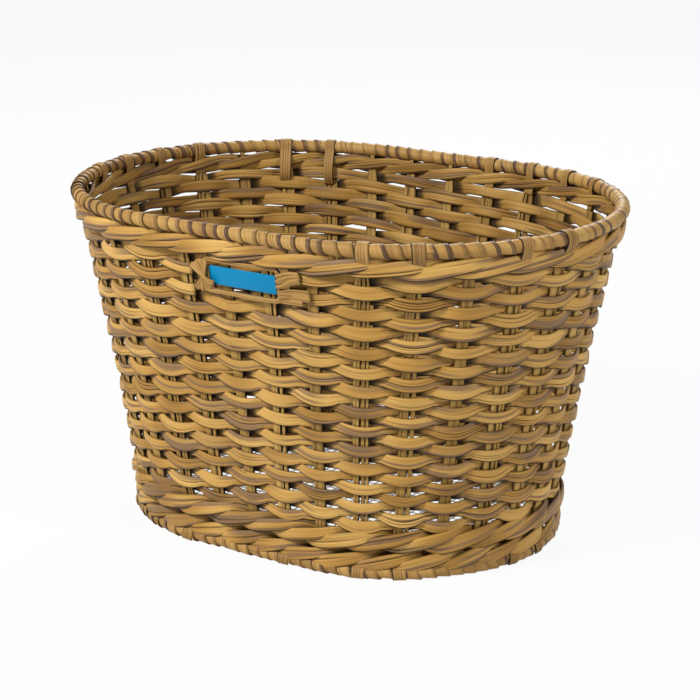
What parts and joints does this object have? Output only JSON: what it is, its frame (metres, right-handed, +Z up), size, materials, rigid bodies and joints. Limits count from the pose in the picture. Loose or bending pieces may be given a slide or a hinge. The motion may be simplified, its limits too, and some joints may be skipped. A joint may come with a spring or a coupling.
{
  "type": "handlebar basket",
  "caption": "Oval bicycle handlebar basket of woven synthetic cane on wire rings, flared to a bound rim, with a wire mesh base and a blank label plate.",
  "frame": {"origin": "middle of the base, at floor level", "axes": "+X to the right along the length, -Y to the front with the label, +Y to the handlebar, +Z up"},
  "size_m": [0.4015, 0.2955, 0.237],
  "materials": {
    "cane": "grooved caramel cane",
    "strip": "grooved caramel strip",
    "steel": "pale grey coated wire",
    "label": "plain blue"
  },
  "bodies": {
    "root": {"rim_wire": "steel", "rim_binding_front": "strip", "rim_binding_right": "strip", "rim_binding_back": "strip", "rim_binding_left": "strip", "rim_lashings": "strip", "upper_wale_a": "cane", "upper_wale_b": "cane", "upper_wale_c": "cane", "weaver_01a": "cane", "weaver_01b": "cane", "weaver_02a": "cane", "weaver_02b": "cane", "weaver_03a": "cane", "weaver_03b": "cane", "weaver_04a": "cane", "weaver_04b": "cane", "weaver_05a": "cane", "weaver_05b": "cane", "weaver_06a": "cane", "weaver_06b": "cane", "weaver_07a": "cane", "weaver_07b": "cane", "weaver_08a": "cane", "weaver_08b": "cane", "weaver_09a": "cane", "weaver_09b": "cane", "weaver_10a": "cane", "weaver_10b": "cane", "weaver_11a": "cane", "weaver_11b": "cane", "weaver_12a": "cane", "weaver_12b": "cane", "weaver_13a": "cane", "weaver_13b": "cane", "lower_wale_1a": "cane", "lower_wale_1b": "cane", "lower_wale_1c": "cane", "lower_wale_2a": "cane", "lower_wale_2b": "cane", "lower_wale_2c": "cane", "stakes_front": "cane", "stakes_right": "cane", "stakes_back": "cane", "stakes_left": "cane", "base_wire": "steel", "base_binding": "strip", "base_lashings": "strip", "mesh_border": "steel", "mesh_long_wires": "steel", "mesh_cross_wires": "steel", "label_plate": "label", "label_frame": "strip", "label_knot_left": "strip", "label_knot_right": "strip"}
  },
  "joints": []
}
